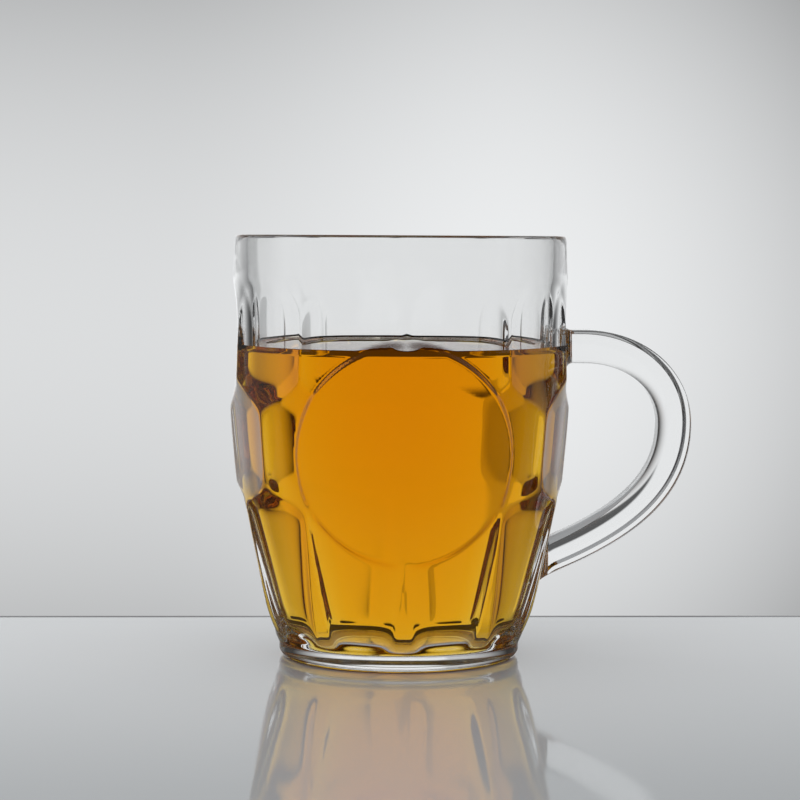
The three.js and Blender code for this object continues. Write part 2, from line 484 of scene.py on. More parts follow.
class Bench:
    """Modelling steps that more than one piece needs."""

    MERGE_DISTANCE = 0.002

    @staticmethod
    def clear() -> None:
        """Leaves edit mode and deselects everything."""
        if bpy.context.object and bpy.context.object.mode != "OBJECT":
            bpy.ops.object.mode_set(mode="OBJECT")
        bpy.ops.object.select_all(action="DESELECT")

    @staticmethod
    def spun(name: str, profile: list[Point], steps: int) -> Piece:
        """Draws a profile point by point and spins it about the upright axis.

        Args:
            name: Name of the new piece.
            profile: Radius and height of each point in millimetres.
            steps: Steps of a full turn.

        Returns:
            The closed piece, smooth, with its faces outwards.
        """
        Bench.clear()
        bpy.ops.mesh.primitive_plane_add(size=MM)
        piece = bpy.context.object
        piece.name = name
        piece.data.name = name
        bpy.ops.object.mode_set(mode="EDIT")
        bpy.ops.mesh.select_all(action="SELECT")
        bpy.ops.mesh.merge(type="CENTER")
        bpy.ops.transform.translate(value=(profile[0][0] * MM, 0.0, profile[0][1] * MM))
        for before, after in zip(profile, profile[1:]):
            step = ((after[0] - before[0]) * MM, 0.0, (after[1] - before[1]) * MM)
            bpy.ops.mesh.extrude_vertices_move(TRANSFORM_OT_translate={"value": step})
        bpy.ops.mesh.select_all(action="SELECT")
        bpy.ops.mesh.spin(
            steps=steps, angle=FULL_TURN, use_auto_merge=True, center=(0, 0, 0), axis=(0, 0, 1)
        )
        bpy.ops.mesh.select_all(action="SELECT")
        bpy.ops.mesh.remove_doubles(threshold=Bench.MERGE_DISTANCE * MM)
        bpy.ops.mesh.normals_make_consistent(inside=False)
        bpy.ops.object.mode_set(mode="OBJECT")
        bpy.ops.object.shade_smooth()
        return piece

    @staticmethod
    def points(piece: Piece) -> Floats:
        """A piece's vertices in millimetres, one row each."""
        found = np.empty(3 * len(piece.data.vertices))
        piece.data.vertices.foreach_get("co", found)
        return found.reshape(-1, 3) / MM

    @staticmethod
    def place(piece: Piece, points: Floats) -> None:
        """Moves a piece's vertices to places in millimetres."""
        piece.data.vertices.foreach_set("co", (points * MM).ravel())
        piece.data.update()

    @staticmethod
    def face_centres(piece: Piece) -> Floats:
        """Middles of a piece's faces in millimetres, one row each."""
        found = np.empty(3 * len(piece.data.polygons))
        piece.data.polygons.foreach_get("center", found)
        return found.reshape(-1, 3) / MM

    @staticmethod
    def paint(piece: Piece, chosen: Flags, skin: Skin) -> None:
        """Gives the chosen faces of a piece one of its material slots."""
        slots = np.empty(len(piece.data.polygons), dtype=np.int32)
        piece.data.polygons.foreach_get("material_index", slots)
        slots[chosen] = skin.value
        piece.data.polygons.foreach_set("material_index", slots)
        piece.data.update()

    @staticmethod
    def enter(piece: Piece, node: str, slot: Slot) -> None:
        """Puts a finished piece in the place of its CAD node."""
        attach(piece, BODY)
        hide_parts(node)
        LOG.info("%s: %d vertices, %d faces", piece.name, len(piece.data.vertices), len(piece.data.polygons))


@dataclass(frozen=True)
class WallCurve:
    """A smooth upright curve through stations of height and radius, straight past its ends."""

    stations: tuple[Point, ...]

    def slope(self, index: int) -> float:
        """Slope at a station: across its neighbours, or along the end stretch."""
        before = self.stations[max(index - 1, 0)]
        after = self.stations[min(index + 1, len(self.stations) - 1)]
        return (after[1] - before[1]) / (after[0] - before[0])

    def radius(self, height: Floats | float) -> Floats:
        """Radius at heights.

        Args:
            height: Heights in millimetres.

        Returns:
            The radius at each height.
        """
        at = np.asarray(height, dtype=float)
        last = len(self.stations) - 1
        found = np.where(
            at <= self.stations[0][0],
            self.stations[0][1] + self.slope(0) * (at - self.stations[0][0]),
            self.stations[last][1] + self.slope(last) * (at - self.stations[last][0]),
        )
        for index, (low, high) in enumerate(zip(self.stations, self.stations[1:])):
            span = high[0] - low[0]
            t = (at - low[0]) / span
            s = 1.0 - t
            eased = low[1] * s * s * (1.0 + 2.0 * t) + high[1] * t * t * (3.0 - 2.0 * t)
            eased = eased + span * (self.slope(index) * t * s * s - self.slope(index + 1) * t * t * s)
            found = np.where((at > low[0]) & (at <= high[0]), eased, found)
        return found


@dataclass(frozen=True)
class HollowRow:
    """One row of hollows, evenly spaced round the bowl."""

    shift: float
    columns: int

    def across(self, angle: Floats) -> Floats:
        """Place across a hollow, from 0 in its middle to 1 half way to the next one."""
        turns = angle * self.columns / FULL_TURN - self.shift
        return 2.0 * np.abs(turns - np.round(turns))

    def press(self, angle: Floats, height: Floats) -> Floats:
        """Depth of the row's hollows, negative beyond them.

        Args:
            angle: Angles from the front in radians.
            height: Heights in millimetres.

        Returns:
            How far the glass is pressed in at each place.
        """
        raise NotImplementedError


@dataclass(frozen=True)
class FacetRow(HollowRow):
    """Broad shallow facets that meet each other in ridges."""

    height: float
    depth: float
    reach_up: float
    reach_down: float
    sharpness: float
    top_sharpness: float
    foot_sharpness: float

    def press(self, angle: Floats, height: Floats) -> Floats:
        """Depth of the facets, with Args and Returns as in HollowRow."""
        along = height - self.height
        reach = np.where(along > 0.0, self.reach_up, self.reach_down)
        power = np.where(along > 0.0, self.top_sharpness, self.foot_sharpness)
        return self.depth * (1.0 - self.across(angle) ** self.sharpness - (np.abs(along) / reach) ** power)


@dataclass(frozen=True)
class FluteRow(HollowRow):
    """Upright panels with round tops and ribs between them, that run out in a ledge at the foot."""

    bottom: float
    top: float
    ledge: float
    arch: float
    depth_bottom: float
    depth_top: float
    span_bottom: float
    sharpness: float

    def press(self, angle: Floats, height: Floats) -> Floats:
        """Depth of the panels, with Args and Returns as in HollowRow."""
        spring = self.top - self.arch
        share = np.clip((height - self.bottom) / (spring - self.bottom), 0.0, 1.0)
        span = self.span_bottom + (1.0 - self.span_bottom) * share
        across = self.across(angle) / span
        deepest = self.depth_bottom + (self.depth_top - self.depth_bottom) * share
        over = np.maximum(height - spring, 0.0) / self.arch
        panel = deepest * (1.0 - over**2 - across**self.sharpness)
        rise = np.clip((height - self.bottom) / self.ledge, 0.0, 1.0)
        return panel * rise * (2.0 - rise)


@dataclass
class Bowl:
    """The pressed glass bowl: foot, ribbed wall with a round medallion, lip, smooth inside and floor."""

    height: float = 103.2
    rim_radius: float = 40.5
    lip_round: float = 0.9
    belly_height: float = 65.2
    belly_radius: float = 41.8
    shoulder_height: float = 42.2
    shoulder_radius: float = 40.0
    flare_height: float = 26.2
    flare_radius: float = 36.8
    base_height: float = 12.0
    base_radius: float = 33.3
    foot_height: float = 3.3
    foot_radius: float = 29.6
    foot_round: float = 2.4
    rim_wall: float = 2.9
    belly_wall: float = 4.9
    shoulder_wall: float = 5.6
    flare_wall: float = 6.4
    floor_thickness: float = 4.6
    floor_corner: float = 13.0
    columns: int = 10
    medallion_radius: float = 25.0
    medallion_height: float = 52.2
    medallion_edge: float = 1.5
    ridge_round: float = 0.25
    steps_per_column: int = 40
    outer_pitch: float = 0.65
    inner_pitch: float = 2.0
    foot_end: float = -15.0
    foot_steps: int = 8
    flat_steps: int = 8
    lip_steps: int = 7
    corner_steps: int = 12
    row_slack: float = 0.01
    glass: GlassFinish = GlassFinish("pressed_glass", wave_scale=70.0, wave_depth=0.06, haze=0.02)
    fused: FusedFinish = FusedFinish("bowl_fused_to_handle")
    wetted: GlassFinish = GlassFinish("wetted_glass", wave_scale=70.0, wave_depth=0.06, haze=0.0, sheen=0.05)
    outer: WallCurve = field(init=False)
    inner: WallCurve = field(init=False)
    rows: tuple[HollowRow, ...] = field(init=False)

    def __post_init__(self) -> None:
        """Draws the two wall curves and the rows of hollows from the sizes."""
        self.outer = WallCurve(
            (
                (self.foot_height, self.foot_radius),
                (self.base_height, self.base_radius),
                (self.flare_height, self.flare_radius),
                (self.shoulder_height, self.shoulder_radius),
                (self.belly_height, self.belly_radius),
                (self.height, self.rim_radius),
            )
        )
        self.inner = WallCurve(
            (
                (self.flare_height, self.flare_radius - self.flare_wall),
                (self.shoulder_height, self.shoulder_radius - self.shoulder_wall),
                (self.belly_height, self.belly_radius - self.belly_wall),
                (self.height, self.rim_radius - self.rim_wall),
            )
        )
        upper = FacetRow(
            height=78.0,
            depth=1.6,
            reach_up=14.0,
            reach_down=16.8,
            sharpness=3.4,
            top_sharpness=2.0,
            foot_sharpness=4.0,
            shift=0.5,
            columns=self.columns,
        )
        middle = FacetRow(
            height=53.7,
            depth=1.8,
            reach_up=15.0,
            reach_down=15.0,
            sharpness=2.6,
            top_sharpness=3.0,
            foot_sharpness=3.0,
            shift=0.0,
            columns=self.columns,
        )
        flutes = FluteRow(
            bottom=5.4,
            top=42.7,
            ledge=9.5,
            arch=8.0,
            depth_bottom=2.0,
            depth_top=1.7,
            span_bottom=0.76,
            sharpness=3.4,
            shift=0.5,
            columns=self.columns,
        )
        self.rows = (upper, middle, flutes)

    def hollow_depth(self, angle: Floats, height: Floats) -> Floats:
        """Depth of the pressed hollows, which stop at the medallion.

        Args:
            angle: Angles from the front in radians.
            height: Heights in millimetres.

        Returns:
            How far the glass is pressed in at each place.
        """
        radius = self.outer.radius(height)
        depth = np.zeros(np.broadcast(angle, height).shape)
        for row in self.rows:
            depth = soft_maximum(depth, row.press(angle, height), self.ridge_round)
        from_middle = np.hypot(radius * np.sin(angle), height - self.medallion_height)
        open_to_press = smoothstep((from_middle - self.medallion_radius) / self.medallion_edge)
        return depth * np.where(np.cos(angle) > 0.0, open_to_press, 1.0)

    def surface_radius(self, angle: Floats, height: Floats) -> Floats:
        """Radius of the pressed outside at angles from the front and heights."""
        return self.outer.radius(height) - self.hollow_depth(angle, height)

    def outside_profile(self) -> list[Point]:
        """Outside from the middle of the foot to the top of the lip."""
        foot_centre = (self.foot_radius - self.foot_round, self.foot_round)
        foot = arc(foot_centre, self.foot_round, -90.0, self.foot_end, self.foot_steps)
        base = [(r, 0.0) for r in np.linspace(0.0, foot[0][0], self.flat_steps)[:-1]]
        wall = [(float(self.outer.radius(z)), z) for z in self.wall_heights()]
        lip_centre = (self.rim_radius - self.lip_round, self.height - self.lip_round)
        return base + foot + wall + arc(lip_centre, self.lip_round, 0.0, 90.0, self.lip_steps)

    def wall_heights(self) -> Floats:
        """Heights of the outer wall's rows, from the foot to below the lip."""
        return spaced(self.foot_height, self.height - self.lip_round, self.outer_pitch)[:-1]

    def inside_profile(self, top: float, grown: float) -> list[Point]:
        """Inside from the middle of the floor up the wall.

        Args:
            top: Height at which the profile ends.
            grown: How far the profile is moved into the glass.

        Returns:
            Radius and height of each point.
        """
        tangent = 90.0 - math.degrees(math.atan(self.inner.slope(0)))
        turn = math.radians(tangent)
        centre_height = self.floor_thickness + self.floor_corner
        corner_top = centre_height - self.floor_corner * math.cos(turn)
        centre_radius = float(self.inner.radius(corner_top)) - self.floor_corner * math.sin(turn)
        centre = (centre_radius, centre_height)
        corner = arc(centre, self.floor_corner + grown, -90.0, tangent - 90.0, self.corner_steps)
        flat = np.linspace(0.0, centre_radius, self.flat_steps)[:-1]
        floor = [(r, self.floor_thickness - grown) for r in flat]
        wall = [(float(self.inner.radius(z)) + grown, z) for z in spaced(corner_top, top, self.inner_pitch)]
        return floor + corner + wall[1:]

    def outer_half(self, places: Floats) -> Flags:
        """Which places lie in the outer half of the wall or outside it."""
        middle = (self.outer.radius(places[:, 2]) + self.inner.radius(places[:, 2])) / 2.0
        return np.hypot(places[:, 0], places[:, 1]) > middle

    def build(self) -> Piece:
        """Spins the profile and presses the hollows into the outer wall.

        Returns:
            The finished bowl, still without its materials.
        """
        lip_centre = (self.rim_radius - self.rim_wall + self.lip_round, self.height - self.lip_round)
        inner_lip = arc(lip_centre, self.lip_round, 90.0, 180.0, self.lip_steps)
        inside = self.inside_profile(self.height - self.lip_round, 0.0)
        profile = self.outside_profile() + inner_lip + inside[-2::-1]
        piece = Bench.spun("bowl", profile, self.columns * self.steps_per_column)
        points = Bench.points(piece)
        radius = np.hypot(points[:, 0], points[:, 1])
        angle = np.arctan2(points[:, 0], -points[:, 1])
        height = points[:, 2]
        rows = self.wall_heights()
        level = (height > rows[0] - self.row_slack) & (height < rows[-1] + self.row_slack)
        wall = self.outer_half(points) & level
        shrink = np.where(wall, 1.0 - self.hollow_depth(angle, height) / np.maximum(radius, 1.0), 1.0)
        points[:, :2] *= shrink[:, None]
        Bench.place(piece, points)
        return piece

    def dress(self, piece: Piece, handle: Handle, drink: Drink) -> None:
        """Gives the bowl its glass, fused where the handle is stuck on and wetted by the drink.

        Args:
            piece: The bowl.
            handle: The handle, which knows its two seats.
            drink: The drink, which knows how high it wets the glass.
        """
        for finish in (self.glass, self.fused, self.wetted):
            piece.data.materials.append(finish.material())
        centres = Bench.face_centres(piece)
        outside = self.outer_half(centres)
        Bench.paint(piece, outside & handle.covers(centres), Skin.FUSED)
        inside = ~outside & (centres[:, 2] > self.floor_thickness / 2.0)
        Bench.paint(piece, inside & (centres[:, 2] < drink.edge()), Skin.WETTED)
        Bench.enter(piece, "mug_body", Slot.GLASS)


@dataclass
class Handle:
    """The drawn glass loop, a stepped bar whose two ends are stuck to the bowl."""

    bowl: Bowl
    reach: float = 71.5
    reach_height: float = 57.2
    top_height: float = 76.2
    foot_height: float = 24.4
    thickness: float = 8.2
    width: float = 10.4
    inner_round: Point = (3.2, 3.4)
    outer_round: Point = (0.4, 2.4)
    step_inset: float = 1.05
    step_run: float = 0.75
    step_angle: float = 54.0
    step_round: float = 0.1
    top_bow: float = 12.0
    outer_bow: float = 11.5
    lower_bow: float = 17.0
    foot_bow: float = 18.0
    foot_angle: float = 20.0
    top_inset: float = 2.5
    foot_inset: float = 4.0
    top_flare: float = 0.4
    foot_flare: float = 0.3
    flare_power: int = 3
    ring_pitch: float = 0.5
    curve_points: int = 400
    corner_points: int = 11
    wall_tries: int = 40
    wall_pace: float = 0.8
    glass: GlassFinish = GlassFinish("drawn_glass", wave_scale=55.0, wave_depth=0.05, haze=0.02)
    fused: FusedFinish = FusedFinish("handle_fused_to_bowl")
    path: Floats = field(init=False)
    sides: int = field(init=False)

    def __post_init__(self) -> None:
        """Draws the middle line and cuts it where it meets the bowl."""
        self.sides = len(self.section())
        line = self.middle_line()
        sideways = np.full(len(line), math.pi / 2.0)
        kept = line[line[:, 0] >= self.bowl.surface_radius(sideways, line[:, 1])]
        lengths = np.concatenate(([0.0], np.cumsum(np.hypot(*np.diff(kept, axis=0).T))))
        at = spaced(0.0, lengths[-1], self.ring_pitch)
        self.path = np.column_stack([np.interp(at, lengths, kept[:, axis]) for axis in (0, 1)])

    def middle_line(self) -> Floats:
        """Middle line of the bar in the XZ plane, from inside the upper wall to inside the lower wall."""
        crest = self.reach - self.thickness / 2.0
        start = float(self.bowl.outer.radius(self.top_height)) - self.bowl.belly_wall
        end = float(self.bowl.outer.radius(self.foot_height)) - self.bowl.flare_wall
        fall = math.radians(self.foot_angle)
        leave = (crest - self.top_bow - (crest - start) / 3.0, self.top_height)
        t = np.linspace(0.0, 1.0, self.curve_points)[:, None]
        straight = (1.0 - t) * np.array((start, self.top_height)) + t * np.array(leave)
        upper = self.bezier(
            leave,
            (leave[0] + self.top_bow, self.top_height),
            (crest, self.reach_height + self.outer_bow),
            (crest, self.reach_height),
        )
        lower = self.bezier(
            (crest, self.reach_height),
            (crest, self.reach_height - self.lower_bow),
            (
                end + self.bowl.flare_wall + self.foot_bow * math.cos(fall),
                self.foot_height + self.foot_bow * math.sin(fall),
            ),
            (end, self.foot_height - self.bowl.flare_wall * math.tan(fall)),
        )
        return np.concatenate((straight, upper[1:], lower[1:]))

    def bezier(self, *corners: Point) -> Floats:
        """Points of a cubic curve with four control points."""
        t = np.linspace(0.0, 1.0, self.curve_points)[:, None]
        s = 1.0 - t
        a, b, c, d = (np.array(corner) for corner in corners)
        return s**3 * a + 3.0 * s * s * t * b + 3.0 * s * t * t * c + t**3 * d

    def headings(self) -> Floats:
        """Heading of the middle line at each of its points, in radians from +X towards +Z."""
        steps = np.gradient(self.path, axis=0)
        return np.unwrap(np.arctan2(steps[:, 1], steps[:, 0]))

    def build(self) -> Piece:
        """Extrudes a stepped ring along the middle line and seats both ends on the bowl.

        Returns:
            The closed handle, still without its materials.
        """
        Bench.clear()
        headings = self.headings()
        first = self.path[0]
        bpy.ops.mesh.primitive_circle_add(vertices=self.sides, radius=MM / 2.0, fill_type="NOTHING")
        piece = bpy.context.object
        piece.name = "handle_loop"
        piece.data.name = "handle_loop"
        Bench.place(piece, self.section())
        bpy.ops.object.mode_set(mode="EDIT")
        bpy.ops.mesh.select_all(action="SELECT")
        turn = headings[0] - math.pi / 2.0
        bpy.ops.transform.rotate(value=turn, orient_axis="Y", center_override=(0, 0, 0))
        bpy.ops.transform.translate(value=(first[0] * MM, 0.0, first[1] * MM))
        for before, after, turn in zip(self.path, self.path[1:], np.diff(headings)):
            step = ((after[0] - before[0]) * MM, 0.0, (after[1] - before[1]) * MM)
            pivot = (after[0] * MM, 0.0, after[1] * MM)
            bpy.ops.mesh.extrude_region_move(TRANSFORM_OT_translate={"value": step})
            bpy.ops.transform.rotate(value=turn, orient_axis="Y", center_override=pivot)
        bpy.ops.object.mode_set(mode="OBJECT")
        self.seat_ends(piece)
        self.close_ends(piece)
        bpy.ops.object.shade_smooth()
        return piece

    def section(self) -> Floats:
        """Outline of the bar: an oval inner side, and a step near the outer edge at the back.

        Returns:
            The points of the ring, x across the thickness, to the inner side, y across the width, backwards.
        """
        side = self.thickness / 2.0
        rear = self.width / 2.0
        drop = self.step_run * math.tan(math.radians(self.step_angle))
        foot = self.step_inset - side
        inner_across, inner_deep = self.inner_round
        outer_across, outer_deep = self.outer_round
        corners = (
            ((side, -rear), inner_deep, inner_across),
            ((-side, -rear), outer_across, outer_deep),
            ((-side, rear - drop), outer_deep, outer_across),
            ((foot, rear - drop), self.step_round, self.step_round),
            ((foot + self.step_run, rear), self.step_round, self.step_round),
            ((side, rear), inner_across, inner_deep),
        )
        ring: list[Point] = []
        places = [np.array(corner) for corner, _, _ in corners]
        for index, (_, length_in, length_out) in enumerate(corners):
            last, corner, following = (places[(index + way) % len(places)] for way in (-1, 0, 1))
            into = -length_in * (corner - last) / np.linalg.norm(corner - last)
            away = length_out * (following - corner) / np.linalg.norm(following - corner)
            ring += self.rounded(corner, into, away)
        return np.array([(x, y, 0.0) for x, y in ring])

    def rounded(self, corner: Floats, into: Floats, away: Floats) -> list[Point]:
        """Quarter of an oval in the place of a corner.

        Args:
            corner: The corner.
            into: Way from the corner back to where the curve starts.
            away: Way from the corner on to where it ends.

        Returns:
            The points of the curve, both ends included.
        """
        turns = np.linspace(0.0, math.pi / 2.0, self.corner_points)
        found = [corner + into * (1.0 - math.sin(t)) + away * (1.0 - math.cos(t)) for t in turns]
        return [(float(x), float(y)) for x, y in found]

    def ends(self) -> list[tuple[int, int, Floats, float, float]]:
        """The two ends of the bar.

        Returns:
            For each end: the row at the bowl, the way along the rows, the heading into the bowl, how many
            millimetres of the bar follow the bowl, and the flare.
        """
        headings = self.headings()
        last = len(self.path) - 1
        top = -np.array((math.cos(headings[0]), 0.0, math.sin(headings[0])))
        foot = np.array((math.cos(headings[last]), 0.0, math.sin(headings[last])))
        return [
            (0, 1, top, self.top_inset, self.top_flare),
            (last, -1, foot, self.foot_inset, self.foot_flare),
        ]

    def to_wall(self, points: Floats, heading: Floats) -> Floats:
        """Distance from points to the bowl along a heading.

        Args:
            points: Places outside the bowl, one row each.
            heading: Unit vector towards the bowl.

        Returns:
            The distance of each point.
        """
        far = np.zeros(len(points))
        for _ in range(self.wall_tries):
            at = points + far[:, None] * heading
            angle = np.arctan2(at[:, 0], -at[:, 1])
            left = np.hypot(at[:, 0], at[:, 1]) - self.bowl.surface_radius(angle, at[:, 2])
            far += self.wall_pace * left
        return far

    def seat_ends(self, piece: Piece) -> None:
        """Flares the rings near both ends and lays the last ones on the bowl.

        Args:
            piece: The bar, whose rings follow each other in its vertices.
        """
        rings = Bench.points(piece).reshape(len(self.path), self.sides, 3)
        for row, way, heading, inset, flare in self.ends():
            count = round(inset / self.ring_pitch)
            base = rings[row + way * count].copy()
            middle = base.mean(axis=0)
            for index in range(count + 1):
                share = 1.0 - index / count
                grown = middle + (base - middle) * (1.0 + flare * share**self.flare_power)
                far = self.to_wall(grown, heading)
                rings[row + way * index] = grown + share * far[:, None] * heading
        Bench.place(piece, rings.reshape(-1, 3))

    def close_ends(self, piece: Piece) -> None:
        """Closes both ends of the bar with faces on the bowl.

        Args:
            piece: The seated bar, open at both ends.
        """
        last = len(self.path) - 1
        for row in (0, last):
            for other in (piece.data.edges, piece.data.polygons):
                other.foreach_set("select", np.zeros(len(other), dtype=bool))
            ring = np.arange(len(piece.data.vertices)) // self.sides == row
            piece.data.vertices.foreach_set("select", ring)
            bpy.ops.object.mode_set(mode="EDIT")
            bpy.ops.mesh.select_mode(type="VERT")
            bpy.ops.mesh.edge_face_add()
            bpy.ops.mesh.poke()
            bpy.ops.mesh.select_all(action="DESELECT")
            bpy.ops.object.mode_set(mode="OBJECT")
        points = Bench.points(piece)
        for middle, (_, _, heading, _, _) in zip((-2, -1), self.ends()):
            points[middle] += self.to_wall(points[[middle]], heading)[0] * heading
        Bench.place(piece, points)
        bpy.ops.object.mode_set(mode="EDIT")
        bpy.ops.mesh.select_all(action="SELECT")
        bpy.ops.mesh.normals_make_consistent(inside=False)
        bpy.ops.object.mode_set(mode="OBJECT")

    def covers(self, places: Floats) -> Flags:
        """Which places on the bowl lie under an end of the bar, each end taken as an oval.

        Args:
            places: Places on the bowl, one row each.

        Returns:
            True for each place that an end covers.
        """
        found = np.zeros(len(places), dtype=bool)
        for row, way, heading, inset, flare in self.ends():
            centre = self.path[row + way * round(inset / self.ring_pitch)]
            offset = places - np.array((centre[0], 0.0, centre[1]))
            side = np.array((-heading[2], 0.0, heading[0]))
            up = offset @ side / (self.thickness / 2.0 * (1.0 + flare))
            across = offset[:, 1] / (self.width / 2.0 * (1.0 + flare))
            found |= (np.hypot(up, across) < 1.0) & (places[:, 0] > 0.0)
        return found

    def dress(self, piece: Piece) -> None:
        """Gives the handle its glass, fused at both ends.

        Args:
            piece: The closed handle.
        """
        for finish in (self.glass, self.fused):
            piece.data.materials.append(finish.material())
        fused = np.zeros(len(piece.data.polygons), dtype=bool)
        fused[-2 * self.sides :] = True
        Bench.paint(piece, fused, Skin.FUSED)
        Bench.enter(piece, "handle", Slot.GLASS)


@dataclass
class Drink:
    """The amber drink, which wets the glass and climbs it a little at its edge."""

    bowl: Bowl
    level: float = 75.4
    climb: float = 1.2
    climb_reach: float = 1.3
    wetting: float = 0.02
    curved_from: float = 0.15
    curved_to: float = 8.0
    curved_rings: int = 24
    flat_from: float = 10.0
    flat_rings: int = 8
    finish: DrinkFinish = DrinkFinish(
        "amber_drink", ior=1.34, sheen=0.1, colour=(0.972, 0.81, 0.0, 1.0), density=95.0
    )

    def edge(self) -> float:
        """Height that the drink reaches where it touches the glass."""
        return self.level + self.climb

    def build(self) -> Piece:
        """Spins the drink's profile, with the surface curved up at the glass.

        Returns:
            The drink, still without its material.
        """
        side = self.bowl.inside_profile(self.edge(), self.wetting)
        rim = side[-1][0]
        curved = np.linspace(self.curved_from, self.curved_to, self.curved_rings)
        inward = np.concatenate((curved, np.linspace(self.flat_from, rim, self.flat_rings)))
        surface = [(rim - d, self.level + self.climb * math.exp(-d / self.climb_reach)) for d in inward]
        return Bench.spun("drink_fill", side + surface, self.bowl.columns * self.bowl.steps_per_column)

    def dress(self, piece: Piece) -> None:
        """Gives the drink its colour and puts it in the bowl."""
        piece.data.materials.append(self.finish.material())
        Bench.enter(piece, "drink", Slot.DRINK)


@dataclass(frozen=True)
class Lobe:
    """A stretch of the backdrop that the glass sees lit, the same on both sides of the handle's plane."""

    centre: float
    half_width: float
    soft: float
    level: float


@dataclass(frozen=True)
class Sky:
    """The world's graph with the angles of its rays."""

    graph: Graph
    azimuth: Socket
    elevation: Socket
    aside: Socket


